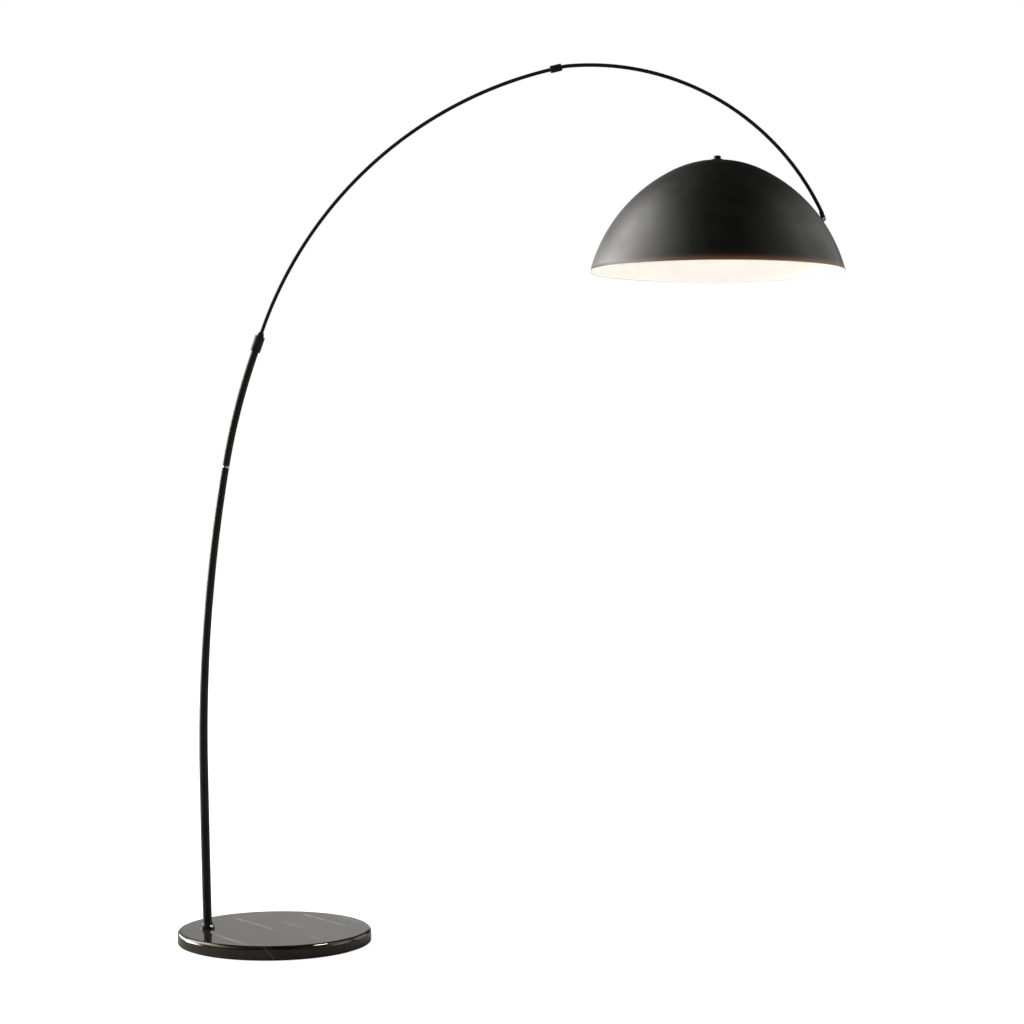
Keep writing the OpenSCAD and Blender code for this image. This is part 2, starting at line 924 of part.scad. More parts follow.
module arm_lead() {
    color(lead_grey) swept_bar(concat(
        [ahead(pole_top, -arm_lead_tail), rod_bend],
        bend_places(rod_bend, lower_rod_bend, coupler_lean, rod_steps),
        [coupler_end],
        bend_places(coupler_end, coupler_bend, upper_rod_lean, short_steps),
        bend_places(upper_rod_start, upper_rod_bend, tip_lean, rod_steps),
        bend_places(tip_start, tip_bend, knuckle_lean, short_steps),
        [ahead(tip_end, tip_len - rod_stop)]
    ), arm_lead_r, lead_sides);
}

// Out of the hollow stud, then up under the strap to the neck of the holder's cap
module shade_lead() {
    inward = -90 - knuckle_rise;
    wall = ahead([pivot[0], pivot[1], inward], pin_height);
    in_stud = 3;
    turn_r = 5;
    turn_depth = strap_in + wall_nut_h + in_stud;
    turn = ahead(wall, turn_depth);
    side = along(turn, turn_r, -knuckle_rise);
    depth = turn_depth + turn_r;
    crown = along(side, depth - side_arc, -crown_rise);
    end_rise = 86.5;
    color(lead_grey) swept_bar(concat(
        [ahead(wall, in_stud), turn],
        bend_places(turn, turn_r, -knuckle_rise, lead_steps),
        bend_places(side, depth - side_arc, -crown_rise, upper_steps),
        bend_places(crown, depth - crown_arc, -end_rise, lead_steps)
    ), arm_lead_r, lead_sides);
}

base_marble();
base_pad();
foot_stud();
foot_washer();
foot_nut();
cord_gland();
foot_collar();
foot_set_screw();
pole_plug();
lower_pole();
joint_spigot();
joint_ring();
upper_pole();
pole_collar();
collar_set_screw();
collar_bush();
pole_lead();
rod_ferrule();
lower_rod();
rod_coupler();
coupler_stud();
upper_rod();
knuckle_fork();
knuckle_screw();
knuckle_nut();
arm_lead();
knuckle_eye();
stud_spacer();
stud_nut();
shade_strap();
shade_shell();
shade_lining();
finial();
finial_flange();
hub_nipple();
hub_spacer();
hub_nut();
holder_cap();
holder_body();
holder_core();
holder_shell();
holder_contact();
bulb_cap();
bulb_contact();
bulb_housing();
bulb_globe();
shade_lead();
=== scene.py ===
"""Arc floor lamp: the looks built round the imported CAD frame.

Metres, in the row frame: origin on the floor at the centre of the base, +Z up, +X towards the shade.
The pole, the rods and the shade's axis all lie in the plane y = 0.
"""

import json
import math

import bpy
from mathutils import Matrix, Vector


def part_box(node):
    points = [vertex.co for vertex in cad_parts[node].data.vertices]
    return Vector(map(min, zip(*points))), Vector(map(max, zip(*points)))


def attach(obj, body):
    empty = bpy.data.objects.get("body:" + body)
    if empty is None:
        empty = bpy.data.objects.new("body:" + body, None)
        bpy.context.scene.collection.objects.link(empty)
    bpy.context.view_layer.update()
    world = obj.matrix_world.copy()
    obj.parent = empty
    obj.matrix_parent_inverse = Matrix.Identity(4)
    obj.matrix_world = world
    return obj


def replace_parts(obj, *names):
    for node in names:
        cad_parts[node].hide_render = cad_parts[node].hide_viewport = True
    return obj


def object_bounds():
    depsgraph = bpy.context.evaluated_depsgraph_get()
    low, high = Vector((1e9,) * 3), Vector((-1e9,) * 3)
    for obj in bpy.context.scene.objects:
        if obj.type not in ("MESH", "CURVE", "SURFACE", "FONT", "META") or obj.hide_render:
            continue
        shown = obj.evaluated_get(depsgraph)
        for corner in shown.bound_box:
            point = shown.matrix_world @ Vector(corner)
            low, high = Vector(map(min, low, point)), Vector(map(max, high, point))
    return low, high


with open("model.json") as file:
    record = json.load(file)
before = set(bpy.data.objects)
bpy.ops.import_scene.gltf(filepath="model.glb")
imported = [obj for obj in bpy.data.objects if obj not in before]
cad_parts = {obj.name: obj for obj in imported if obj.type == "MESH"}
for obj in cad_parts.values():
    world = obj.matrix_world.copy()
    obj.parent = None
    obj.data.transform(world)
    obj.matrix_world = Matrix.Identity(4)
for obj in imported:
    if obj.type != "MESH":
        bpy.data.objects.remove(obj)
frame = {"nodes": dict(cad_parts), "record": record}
cad_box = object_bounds()

MM = 0.001
TAU = 2 * math.pi

# ---- Camera, in the row frame ----

CAMERA_SIDE_STEP = 0.0023  # to the right of the middle of the lamp
CAMERA_BACK = 5.1297
CAMERA_HEIGHT = 1.0015
CAMERA_PITCH_DOWN = 0.0136
CAMERA_LENS = 83.49
CAMERA_SENSOR = 36.0

# ---- Sizes that the frame's boxes don't give ----

POLE_WALL = 1.2 * MM
ROD_WALL = 1.0 * MM
SHELL_WALL = 1.0 * MM
LINING_WALL = 0.5 * MM
BEAD_R = 1.4 * MM
SHADE_R = 274 * MM
SIDE_ARC = 336 * MM
CROWN_ARC = 221 * MM
RIM_LEAN = math.radians(14.7)
CROWN_HOLE_R = 5.2 * MM
LINING_RIM_GAP = math.radians(0.4)
FLANGE_H = 2 * MM
BULB_GLOW = 9.0
LINING_GLOW = 2.2  # painted glow: emission of the lining next to the bulb, standing in for the bulb's light on it
LINING_GLOW_LOW = 55 * MM  # heights over the rim between which that painted glow comes up
LINING_GLOW_HIGH = 190 * MM
RIM_GLOW = 0.11  # painted glow: the outer coat itself emits warm light along the rim, standing in for glare from the lit inside of the shade
RIM_GLOW_H = 24 * MM
WARM_GLOW = (1.0, 0.46, 0.16)
GLINT_WIDTH = 400 * MM  # the lit mouth of the shade, as polished surfaces see it
GLINT_RADIANCE = 60.0

# Marble: its veins lie in parallel planes, turned about the upright and leaning
MARBLE_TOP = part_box("base_marble")[1].z
VEIN_TURN = math.radians(36)
VEIN_LEAN = 0.71
VEIN_DRIFT = 9 * MM
VEIN_END = 24 * MM
PALE_VEINS = (
    (-0.012, -0.012, 0.150, 5.0 * MM, 0.44),
    (-0.141, -0.125, 0.020, 5.0 * MM, 0.42),
    (0.137, -0.060, 0.112, 5.0 * MM, 0.42),
    (0.049, -0.035, 0.030, 5.5 * MM, 0.34),
    (0.0125, -0.160, -0.095, 4.0 * MM, 0.26),
    (-0.1254, -0.215, -0.165, 0.9 * MM, 0.62),
    (-0.072, -0.215, -0.185, 0.7 * MM, 0.14),
    (0.185, -0.10, 0.05, 4.0 * MM, 0.28),
)
DARK_VEIN = (-0.1786, 0.015, 0.115, 6.0 * MM, 1.0)
DARK_VEIN_SKEW = 0.19

# The shade's outline, from its axis and the plane of its rim: a side arc, then a crown arc
SIDE_X = SHADE_R - SIDE_ARC * math.cos(RIM_LEAN)
SIDE_Z = -SIDE_ARC * math.sin(RIM_LEAN)
CROWN_Z = SIDE_Z + math.sqrt((SIDE_ARC - CROWN_ARC) ** 2 - SIDE_X**2)
CROWN_RISE = math.atan2(CROWN_Z - SIDE_Z, -SIDE_X)
SHADE_H = CROWN_Z + CROWN_ARC


def middle(node):
    lo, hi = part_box(node)
    return (lo + hi) / 2


def extent(node):
    lo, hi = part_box(node)
    return hi - lo


SHADE_AXIS = Vector((middle("finial").x, 0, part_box("finial_flange")[1].z - FLANGE_H - SHADE_H))


# ---- Mesh helpers ----


def new_piece(name, points, faces, body, sharp=40):
    mesh = bpy.data.meshes.new(name)
    mesh.from_pydata(points, [], faces)
    mesh.validate()
    mesh.shade_smooth()
    mesh.set_sharp_from_angle(angle=math.radians(sharp))
    piece = bpy.data.objects.new(name, mesh)
    bpy.context.scene.collection.objects.link(piece)
    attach(piece, body)
    return piece


def skin(rings, sides, closed):
    """Quads between neighbouring rings; closed joins the last ring to the first."""
    faces = []
    for i in range(rings if closed else rings - 1):
        a, b = i * sides, (i + 1) % rings * sides
        for j in range(sides):
            k = (j + 1) % sides
            faces.append((a + j, a + k, b + k, b + j))
    return faces


def node_places(node):
    """Centre and radius of each ring of a swept CAD tube: only at the middle do the outer and inner
    skin have points with the same x and z."""
    rows = {}
    for v in frame["nodes"][node].data.vertices:
        rows.setdefault((round(v.co.x, 5), round(v.co.z, 5)), set()).add(round(abs(v.co.y), 5))
    widest = max(max(ys) for ys in rows.values())
    places = [
        (Vector((x, 0, z)), max(ys))
        for (x, z), ys in rows.items()
        if len(ys) >= 2 and max(ys) > 0.8 * widest
    ]
    size = extent(node)
    return sorted(places, key=lambda p: p[0].x if 2 * size.x > size.z else p[0].z)


def tangents(points):
    """Direction at each point of the circle through it and its two neighbours."""
    chords = [(b - a) for a, b in zip(points, points[1:])]
    found = []
    for i in range(len(points)):
        if i == 0 or i == len(points) - 1:
            found.append(None)
            continue
        before, after = chords[i - 1], chords[i]
        mixed = before.normalized() * after.length + after.normalized() * before.length
        found.append(mixed.normalized())
    for end, inner, chord in ((0, 1, chords[0]), (-1, -2, chords[-1])):
        along = chord.normalized()
        found[end] = (2 * along.dot(found[inner]) * along - found[inner]).normalized()
    return found


def smooth_places(places, step=6 * MM):
    """The same path with a place at least every `step`: [point, direction, radius]."""
    points = [p for p, _ in places]
    directions = tangents(points)
    found = []
    for i in range(len(points) - 1):
        a, b, da, db = points[i], points[i + 1], directions[i], directions[i + 1]
        length = (b - a).length
        parts = max(1, math.ceil(length / step))
        for s in range(parts):
            t = s / parts
            h = (2 * t**3 - 3 * t**2 + 1, t**3 - 2 * t**2 + t, 3 * t**2 - 2 * t**3, t**3 - t**2)
            g = (6 * t**2 - 6 * t, 3 * t**2 - 4 * t + 1, 6 * t - 6 * t**2, 3 * t**2 - 2 * t)
            point = h[0] * a + h[1] * length * da + h[2] * b + h[3] * length * db
            along = g[0] * a + g[1] * length * da + g[2] * b + g[3] * length * db
            found.append((point, along.normalized(), places[i][1] * (1 - t) + places[i + 1][1] * t))
    found.append((points[-1], directions[-1], places[-1][1]))
    return found


def ring(point, along, radius, sides):
    across = along.cross(Vector((0, 1, 0))).normalized()
    up = across.cross(along).normalized()
    turns = (TAU * j / sides for j in range(sides))
    return [point + radius * (math.cos(a) * across + math.sin(a) * up) for a in turns]


def tube(name, node, body, wall, sides=48, lip=0.35 * MM):
    """Smooth bent tube in place of a faceted CAD one: an outer and an inner skin and rounded mouths."""
    places = smooth_places(node_places(node))
    (p0, d0, r0), (p1, d1, r1) = places[0], places[-1]
    half = 0.3 * lip
    outer = [(p0, d0, r0 - lip), (p0 + half * d0, d0, r0 - half), (p0 + lip * d0, d0, r0)]
    outer += places[1:-1]
    outer += [(p1 - lip * d1, d1, r1), (p1 - half * d1, d1, r1 - half), (p1, d1, r1 - lip)]
    inner = [(p, d, r - wall) for p, d, r in reversed(places)]
    points = [q for p, d, r in outer + inner for q in ring(p, d, r, sides)]
    piece = new_piece(name, points, skin(len(outer) + len(inner), sides, closed=True), body)
    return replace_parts(piece, node)


def lathe(name, outline, axis, body, sides):
    """Closed outline of (radius, height) pairs, turned about an upright axis."""
    turns = [TAU * j / sides for j in range(sides)]
    points = [axis + Vector((r * math.cos(a), r * math.sin(a), z)) for r, z in outline for a in turns]
    return new_piece(name, points, skin(len(outline), sides, closed=True), body)


def dome_arc(depth, start, step=math.radians(1.2)):
    """(radius, height) pairs on the shade's outline at a depth below its outer face, from the angle
    `start` above the horizontal up to the hole in the crown."""
    found = []
    side, crown = SIDE_ARC - depth, CROWN_ARC - depth
    parts = round((CROWN_RISE - start) / step)
    for i in range(parts):
        a = start + (CROWN_RISE - start) * i / parts
        found.append((SIDE_X + side * math.cos(a), SIDE_Z + side * math.sin(a)))
    last = math.acos(CROWN_HOLE_R / crown)
    parts = round((last - CROWN_RISE) / step)
    for i in range(parts + 1):
        a = CROWN_RISE + (last - CROWN_RISE) * i / parts
        found.append((crown * math.cos(a), CROWN_Z + crown * math.sin(a)))
    return found


# ---- Node graphs ----


class Finish:
    """A Principled material whose sockets are driven by procedural patterns in the row frame."""

    def __init__(self, name, colour, roughness, metallic=0.0, **values):
        self.material = bpy.data.materials.new(name)
        self.material.use_nodes = True
        self.tree = self.material.node_tree
        self.shader = self.tree.nodes["Principled BSDF"]
        self.where = self.node("ShaderNodeTexCoord").outputs["Object"]
        self.shader.inputs["Base Color"].default_value = (*colour, 1)
        self.shader.inputs["Roughness"].default_value = roughness
        self.shader.inputs["Metallic"].default_value = metallic
        for socket, value in values.items():
            self.shader.inputs[socket.replace("_", " ").title().replace("Ior", "IOR")].default_value = value

    def node(self, kind, settings=None, **inputs):
        """A new node. An input is named by its socket, or i0, i1 and so on by its place."""
        made = self.tree.nodes.new(kind)
        for key, value in (settings or {}).items():
            setattr(made, key, value)
        for key, value in inputs.items():
            numbered = key[0] == "i" and key[1:].isdigit()
            self.feed(made.inputs[int(key[1:]) if numbered else key.replace("_", " ")], value)
        return made

    def feed(self, socket, value):
        if isinstance(value, bpy.types.NodeSocket):
            self.tree.links.new(value, socket)
        elif value is not None:
            socket.default_value = value

    def drive(self, socket, value):
        self.feed(self.shader.inputs[socket], value)
        return self

    def math(self, operation, a, b=None, c=None):
        return self.node("ShaderNodeMath", {"operation": operation}, i0=a, i1=b, i2=c).outputs[0]

    def blend(self, low, high, value, to_low=0.0, to_high=1.0):
        """Smoothly from to_low, where value is low, to to_high, where it is high."""
        made = self.node("ShaderNodeMapRange", {"interpolation_type": "SMOOTHSTEP"}, Value=value)
        for key, number in zip(("From Min", "From Max", "To Min", "To Max"), (low, high, to_low, to_high)):
            made.inputs[key].default_value = number
        return made.outputs["Result"]

    def noise(self, scale, detail=2.0, rough=0.5, where=None, distortion=0.0):
        made = self.node("ShaderNodeTexNoise", None, Vector=where or self.where, Scale=scale, Detail=detail,
                         Roughness=rough, Distortion=distortion)
        return made.outputs["Fac"]

    def placed(self, move=(0, 0, 0), turn=(0, 0, 0), scale=(1, 1, 1), where=None):
        """Coordinates moved by -move, then turned and scaled."""
        made = self.node("ShaderNodeMapping", {"vector_type": "TEXTURE"}, Vector=where or self.where)
        made.inputs["Location"].default_value = move
        made.inputs["Rotation"].default_value = turn
        made.inputs["Scale"].default_value = [1 / s for s in scale]
        return made.outputs["Vector"]

    def parts(self, vector):
        return self.node("ShaderNodeSeparateXYZ", None, Vector=vector).outputs

    def dot(self, vector, fixed):
        made = self.node("ShaderNodeVectorMath", {"operation": "DOT_PRODUCT"}, i0=vector, i1=fixed)
        return made.outputs["Value"]

    def vein(self, across, along, fade, offset, start, end, half, strength):
        """A thin band at one offset across, which thins out past its two ends along."""
        gap = self.math("ABSOLUTE", self.math("SUBTRACT", across, offset))
        band = self.blend(0.35 * half, half, gap, 1, 0)
        ends = self.math("MULTIPLY", self.blend(start - VEIN_END, start + VEIN_END, along),
                         self.blend(end - VEIN_END, end + VEIN_END, along, 1, 0))
        patchy = self.blend(0.35, 0.6, fade, 0.45 * strength, strength)
        return self.math("MULTIPLY", self.math("MULTIPLY", band, ends), patchy)

    def mix(self, amount, a, b):
        made = self.node("ShaderNodeMix", {"data_type": "RGBA"})
        self.feed(made.inputs["Factor"], amount)
        for socket, colour in ((made.inputs[6], a), (made.inputs[7], b)):
            self.feed(socket, colour if isinstance(colour, bpy.types.NodeSocket) else (*colour, 1))
        return made.outputs[2]

    def bump(self, height, distance, strength=1.0):
        made = self.node("ShaderNodeBump", None, Height=height, Distance=distance, Strength=strength)
        normal = self.shader.inputs["Normal"]
        if normal.links:
            self.tree.links.new(normal.links[0].from_socket, made.inputs["Normal"])
        self.tree.links.new(made.outputs["Normal"], normal)
        return self


def powder_coat(name, colour, roughness, gloss, grain):
    """Satin paint: an orange-peel surface and a gloss that varies a little from patch to patch."""
    f = Finish(name, colour, roughness, specular_ior_level=gloss)
    patches = f.noise(28, 3)
    peel = f.noise(grain, 2, 0.6)
    light = tuple(1.35 * c for c in colour)
    f.drive("Base Color", f.mix(f.blend(0.3, 0.7, patches), colour, light))
    f.drive("Roughness", f.math("ADD", f.blend(0.25, 0.75, patches, roughness - 0.04, roughness + 0.04),
                                f.blend(0.2, 0.8, peel, -0.02, 0.02)))
    return f.bump(peel, 0.06 * MM, 0.5)


def spun_coat(name):
    """The shade's paint over spun metal: faint rings about its axis under the orange peel, and a painted
    glow, warm light emitted by the coat itself, that fades upwards from the rim."""
    f = powder_coat(name, (0.0056, 0.0056, 0.0054), 0.44, 0.5, 700)
    x, y, z = f.parts(f.placed(move=SHADE_AXIS))
    radius = f.math("SQRT", f.math("ADD", f.math("MULTIPLY", x, x), f.math("MULTIPLY", y, y)))
    along = f.math("SUBTRACT", radius, z)
    across = f.node("ShaderNodeCombineXYZ", None, X=along).outputs[0]
    rings = f.noise(420, 3, 0.7, where=across)
    # painted glow: warm emission on the outer coat, strongest at the rim and gone RIM_GLOW_H above it
    painted_rim_glow = f.math("POWER", f.blend(-2 * MM, RIM_GLOW_H, z, 1, 0), 3)
    f.shader.inputs["Emission Strength"].default_value = RIM_GLOW
    f.drive("Emission Color", f.mix(painted_rim_glow, (0, 0, 0), WARM_GLOW))
    return f.bump(rings, 0.05 * MM, 0.35)


def polished_marble(name):
    """Dark brown marble: soft clouds along the bedding, and thin veins on slanting planes.

    A vein is (offset across the bedding, its two ends along the bedding, half width, strength)."""
    f = Finish(name, (0.02, 0.017, 0.013), 0.06, specular_ior_level=0.5, specular_tint=(1, 0.98, 0.94, 1))
    warp = f.node("ShaderNodeTexNoise", None, Vector=f.where, Scale=7.0, Detail=3.0, Roughness=0.5)
    drift = f.node("ShaderNodeVectorMath", {"operation": "MULTIPLY_ADD"}, i0=warp.outputs["Color"],
                   i1=(VEIN_DRIFT, VEIN_DRIFT, VEIN_DRIFT), i2=f.where).outputs[0]
    lean = (math.cos(VEIN_TURN), math.sin(VEIN_TURN), VEIN_LEAN)
    course = (-math.sin(VEIN_TURN), math.cos(VEIN_TURN), 0)
    half_drift = 0.5 * VEIN_DRIFT * sum(lean) + VEIN_LEAN * MARBLE_TOP
    across = f.math("SUBTRACT", f.dot(drift, lean), half_drift)
    along = f.dot(f.where, course)
    stretched = f.placed(turn=(0, 0, VEIN_TURN), scale=(16, 5, 9), where=drift)
    clouds = f.noise(1.0, 8, 0.62, where=stretched)
    grain = f.noise(190, 4, 0.7)
    fade = f.noise(26, 3, 0.6)
    colour = f.mix(f.blend(0.32, 0.72, clouds), (0.011, 0.0082, 0.0048), (0.034, 0.026, 0.0150))
    colour = f.mix(f.blend(0.55, 0.85, grain, 0, 0.3), colour, (0.05, 0.041, 0.030))
    pale = None
    for offset, start, end, half, strength in PALE_VEINS:
        line = f.vein(across, along, fade, offset, start, end, half, strength)
        pale = line if pale is None else f.math("MAXIMUM", pale, line)
    cracks = f.node("ShaderNodeTexVoronoi", {"feature": "DISTANCE_TO_EDGE"}, Vector=stretched, Scale=0.9)
    crack = f.blend(0, 0.010, cracks.outputs["Distance"], 1, 0)
    hair = f.math("MULTIPLY", crack, f.blend(0.52, 0.7, fade, 0, 0.16))
    pale = f.math("MAXIMUM", pale, hair)
    dark = f.vein(f.math("MULTIPLY_ADD", along, -DARK_VEIN_SKEW, across), along, fade, *DARK_VEIN)
    colour = f.mix(dark, colour, (0.002, 0.0015, 0.001))
    f.drive("Base Color", f.mix(pale, colour, (0.60, 0.55, 0.47)))
    polish = f.blend(0.3, 0.7, grain, 0.045, 0.07)
    f.drive("Roughness", f.math("ADD", polish, f.math("MULTIPLY", pale, 0.08)))
    return f.bump(pale, 0.02 * MM, 0.2)


def moulded(name, colour, roughness, grain, depth):
    """Moulded rubber or plastic: a fine grain with a little colour and gloss variation."""
    f = Finish(name, colour, roughness)
    patches, fine = f.noise(45, 3), f.noise(grain, 3, 0.65)
    light = tuple(min(1, 1.25 * c) for c in colour)
    f.drive("Base Color", f.mix(f.blend(0.3, 0.75, patches), colour, light))
    f.drive("Roughness", f.blend(0.3, 0.7, fine, roughness - 0.06, roughness + 0.06))
    return f.bump(fine, depth, 0.6)


def plated(name, colour, roughness):
    """Turned and plated metal: fine streaks, with small stains in the gloss."""
    f = Finish(name, colour, roughness, metallic=1.0)
    streaks = f.noise(1.0, 3, 0.7, where=f.placed(scale=(900, 900, 5000)))
    stains = f.noise(70, 4, 0.6)
    dark = tuple(0.8 * c for c in colour)
    f.drive("Base Color", f.mix(f.blend(0.45, 0.75, stains), colour, dark))
    f.drive("Roughness", f.math("ADD", f.blend(0.3, 0.7, streaks, roughness - 0.05, roughness + 0.05),
                                f.blend(0.5, 0.8, stains, 0, 0.1)))
    return f.bump(streaks, 0.02 * MM, 0.3)


def enamel(name, glow):
    """Warm white lacquer inside the shade, with a painted glow: its emission stands in for the bulb's light
    and is brightest high up near the bulb.
    """
    f = Finish(name, (0.93, 0.90, 0.83), 0.45, emission_strength=glow)
    height = f.parts(f.placed(move=SHADE_AXIS))["Z"]
    peel = f.noise(600, 2, 0.6)
    patches = f.noise(20, 3)
    f.drive("Base Color", f.mix(f.blend(0.3, 0.7, patches), (0.93, 0.90, 0.83), (0.90, 0.865, 0.79)))
    f.drive("Roughness", f.blend(0.25, 0.75, peel, 0.42, 0.5))
    # painted glow: dim, cool emission low down and warm, bright emission high up, standing in for the
    # bulb's light
    low = f.mix(f.blend(0.3, 0.7, patches), (0.036, 0.052, 0.084), (0.033, 0.049, 0.079))
    painted_bulb_light = f.blend(LINING_GLOW_LOW, LINING_GLOW_HIGH, height)
    f.drive("Emission Color", f.mix(painted_bulb_light, low, (1.0, 0.90, 0.72)))
    return f.bump(peel, 0.04 * MM, 0.4)


def opal(name):
    """Opal glass, lit from within and a little uneven."""
    f = Finish(name, (0.98, 0.96, 0.92), 0.25, emission_strength=BULB_GLOW)
    milk = f.noise(35, 4, 0.6)
    f.drive("Base Color", f.mix(f.blend(0.3, 0.7, milk), (0.98, 0.96, 0.92), (0.94, 0.91, 0.86)))
    f.drive("Emission Color", f.mix(f.blend(0.3, 0.7, milk), (1.0, 0.90, 0.74), (1.0, 0.86, 0.68)))
    f.drive("Roughness", f.blend(0.3, 0.7, milk, 0.2, 0.3))
    return f


finishes = {
    "marble": polished_marble("marble_polished"),
    "pad": moulded("pad_foam_rubber", (0.016, 0.016, 0.016), 0.85, 900, 0.15 * MM),
    "rubber": moulded("rubber_matt", (0.014, 0.014, 0.014), 0.75, 1400, 0.06 * MM),
    "black_coat": powder_coat("black_powder_coat", (0.019, 0.019, 0.018), 0.40, 0.10, 1100),
    "steel": plated("plated_steel", (0.62, 0.62, 0.63), 0.3),
    "brass": plated("turned_brass", (0.72, 0.53, 0.24), 0.28),
    "lead_sheath": moulded("lead_sheath_pvc", (0.11, 0.11, 0.11), 0.5, 1600, 0.03 * MM),
    "shade_coat": spun_coat("shade_black_coat_painted_rim_glow"),
    "white_enamel": enamel("shade_white_enamel_painted_glow", LINING_GLOW),
    "holder_plastic": moulded("holder_thermoplastic", (0.014, 0.014, 0.014), 0.45, 1200, 0.04 * MM),
    "porcelain": moulded("holder_porcelain", (0.80, 0.79, 0.75), 0.25, 300, 0.02 * MM),
    "bulb_metal": plated("bulb_cap_metal", (0.76, 0.76, 0.77), 0.25),
    "bulb_plastic": moulded("bulb_housing_white", (0.85, 0.85, 0.83), 0.4, 900, 0.03 * MM),
    "opal_glass": opal("bulb_opal_glass"),
}
# the same white enamel with no painted glow, for the lip of the rolled rim
lip_finish = enamel("shade_lip_enamel", 0.0)
slot_of = {s["node"]: s["material_slot"] for s in frame["record"]["subparts"]}
for node, shown in frame["nodes"].items():
    shown.material_slots[0].material = finishes[slot_of[node]].material


def finish_as(piece, *slots):
    for slot in slots:
        piece.data.materials.append(finishes[slot].material)
    return piece


# ---- Pole and rods ----

for node, body, wall in (
    ("lower_pole", "stand", POLE_WALL),
    ("upper_pole", "stand", POLE_WALL),
    ("lower_rod", "arm", ROD_WALL),
    ("upper_rod", "arm", ROD_WALL),
):
    finish_as(tube(node + "_tube", node, body, wall), "black_coat")

# ---- Shade ----

SHADE_SIDES = 288


def bead(start, end, parts):
    """Points on the rolled rim, from one angle to another, in degrees above the horizontal outside."""
    turns = (math.radians(start + (end - start) * i / parts) for i in range(parts + 1))
    return [(SHADE_R - SHELL_WALL / 2 + BEAD_R * math.cos(a), BEAD_R * math.sin(a)) for a in turns]


outside = dome_arc(0, RIM_LEAN + math.radians(0.35))
inside = dome_arc(SHELL_WALL, RIM_LEAN + math.radians(0.35))
# The rolled rim: black paint, then white enamel with its painted glow, a lip of the same enamel without
# that glow, which stays unlit, and glowing white again
zones = (bead(30, -15, 5), bead(-27, -95, 6), bead(-106, -150, 4), bead(-162, -210, 4))
outline = list(reversed(outside)) + [place for zone in zones for place in zone] + inside
shell = lathe("shade_spun_shell", outline, SHADE_AXIS, "shade", SHADE_SIDES)
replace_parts(shell, "shade_shell")
finish_as(shell, "shade_coat", "white_enamel")
shell.data.materials.append(lip_finish.material)
ends = [len(outside) + sum(len(zone) for zone in zones[:count]) for count in (1, 2, 3)]
for polygon in shell.data.polygons:
    band = polygon.index // SHADE_SIDES + 1
    polygon.material_index = 0 if band < ends[0] else 2 if ends[1] <= band < ends[2] else 1

lining_start = RIM_LEAN + LINING_RIM_GAP
outline = list(reversed(dome_arc(SHELL_WALL, lining_start)))
outline += dome_arc(SHELL_WALL + LINING_WALL, lining_start)
lining = lathe("shade_enamel_lining", outline, SHADE_AXIS, "shade", SHADE_SIDES)
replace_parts(lining, "shade_lining")
finish_as(lining, "white_enamel")

# What polished surfaces below see of the lit shade: a warm disc across its mouth
mouth_data = bpy.data.lights.new("shade_mouth_glint", "AREA")
mouth_data.shape = "DISK"
mouth_data.size = GLINT_WIDTH
mouth_data.energy = GLINT_RADIANCE * math.pi * math.pi * (GLINT_WIDTH / 2) ** 2
mouth_data.color = (1.0, 0.86, 0.62)
mouth = bpy.data.objects.new("shade_mouth_glint", mouth_data)
bpy.context.scene.collection.objects.link(mouth)
mouth.location = SHADE_AXIS
mouth.parent = shell
mouth.visible_camera = False
mouth.visible_diffuse = False

# ---- Floor, lights and camera ----

FLOOR_R = 14.0
FLOOR_SIDES = 64
PAPER_GLOW = 0.93
PAPER_SHADOW = 0.5


def floor_material():
    """Pale floor. The camera sees it as white paper with a faint shadow, the lamp as a duller floor."""
    f = Finish("floor_pale", (0.4, 0.4, 0.4), 0.9, specular_ior_level=0.0)
    dust = f.noise(3, 2)
    f.drive("Base Color", f.mix(dust, (0.38, 0.38, 0.38), (0.42, 0.42, 0.42)))
    seen = f.node("ShaderNodeLightPath").outputs["Is Camera Ray"]
    paper = f.node("ShaderNodeEmission", None, Color=(1, 1, 1, 1), Strength=PAPER_GLOW)
    shadows = f.node("ShaderNodeBsdfDiffuse", None, Color=(PAPER_SHADOW, PAPER_SHADOW, PAPER_SHADOW, 1))
    white = f.node("ShaderNodeAddShader", None, i0=paper.outputs[0], i1=shadows.outputs[0])
    both = f.node("ShaderNodeMixShader", None, i0=seen, i1=f.shader.outputs[0], i2=white.outputs[0])
    f.tree.links.new(both.outputs[0], f.tree.nodes["Material Output"].inputs["Surface"])
    return f.material


rim = [(FLOOR_R * math.cos(TAU * i / FLOOR_SIDES), FLOOR_R * math.sin(TAU * i / FLOOR_SIDES), 0)
       for i in range(FLOOR_SIDES)]
floor_mesh = bpy.data.meshes.new("floor")
floor_mesh.from_pydata(rim, [], [tuple(range(FLOOR_SIDES))])
floor = bpy.data.objects.new("floor", floor_mesh)
bpy.context.scene.collection.objects.link(floor)
floor_mesh.materials.append(floor_material())

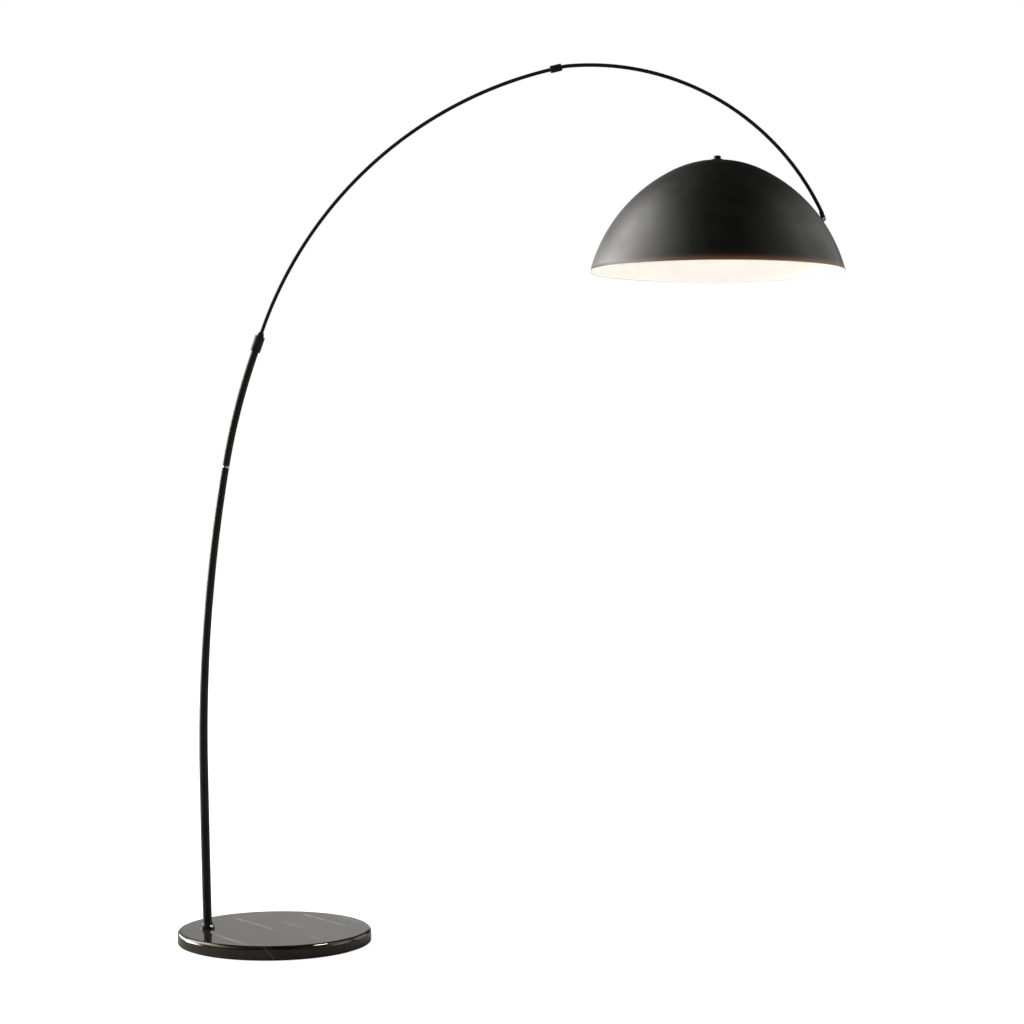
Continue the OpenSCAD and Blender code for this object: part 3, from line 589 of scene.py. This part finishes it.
# Soft lights far away: degrees round from the camera's side towards +X, degrees up, radiance, and
# degrees from the middle to the edge
LIGHTS = (
    (-105, 0, 22.0, 22),
    (-120, 0, 19.5, 22),
    (-135, 0, 5.6, 22),
    (-120, 36, 7.2, 22),
    (-90, 36, 3.0, 22),
    (-75, 36, 1.1, 22),
    (-60, 36, 0.7, 22),
    (-150, 16, 0.45, 22),
    (90, 0, 4.1, 22),
    (105, 36, 1.6, 22),
    (135, 16, 1.2, 22),
    (60, 36, 0.45, 22),
    (180, 9, 0.56, 16),
    (0, 3, 0.45, 22),
)
LIGHT_CORE = 0.24  # how much of that spread is fully bright
LIGHT_TINT = (1.0, 0.99, 0.965, 1)

world = bpy.data.worlds.new("studio")
bpy.context.scene.world = world
world.use_nodes = True
tree = world.node_tree


def world_node(kind, *inputs, **settings):
    made = tree.nodes.new(kind)
    for key, value in settings.items():
        setattr(made, key, value)
    for socket, value in zip(made.inputs, inputs):
        if isinstance(value, bpy.types.NodeSocket):
            tree.links.new(value, socket)
        else:
            socket.default_value = value
    return made


direction = world_node("ShaderNodeTexCoord").outputs["Generated"]
total = 0.0
for azimuth, elevation, radiance, spread in LIGHTS:
    turn, rise = math.radians(azimuth), math.radians(elevation)
    toward = (math.sin(turn) * math.cos(rise), -math.cos(turn) * math.cos(rise), math.sin(rise))
    facing = world_node("ShaderNodeVectorMath", direction, toward, operation="DOT_PRODUCT").outputs["Value"]
    edge, core = (math.cos(math.radians(spread * part)) for part in (1, LIGHT_CORE))
    soft = world_node("ShaderNodeMapRange", facing, edge, core, interpolation_type="SMOOTHSTEP")
    added = world_node("ShaderNodeMath", soft.outputs[0], radiance, total, operation="MULTIPLY_ADD")
    total = added.outputs[0]
lit = tree.nodes["Background"]
tree.links.new(total, lit.inputs["Strength"])
lit.inputs["Color"].default_value = LIGHT_TINT
white = world_node("ShaderNodeBackground", (1, 1, 1, 1), 1.0)
seen = world_node("ShaderNodeLightPath").outputs["Is Camera Ray"]
both = world_node("ShaderNodeMixShader", seen, lit.outputs[0], white.outputs[0])
tree.links.new(both.outputs[0], tree.nodes["World Output"].inputs["Surface"])

MIDDLE = (cad_box[0] + cad_box[1]) / 2

camera_data = bpy.data.cameras.new("camera")
camera_data.lens = CAMERA_LENS
camera_data.sensor_width = CAMERA_SENSOR
camera = bpy.data.objects.new("camera", camera_data)
camera.location = (MIDDLE.x + CAMERA_SIDE_STEP, -CAMERA_BACK, CAMERA_HEIGHT)
camera.rotation_euler = (math.pi / 2 - CAMERA_PITCH_DOWN, 0, 0)
bpy.context.scene.collection.objects.link(camera)
bpy.context.scene.camera = camera
bpy.context.scene.view_settings.view_transform = "Standard"
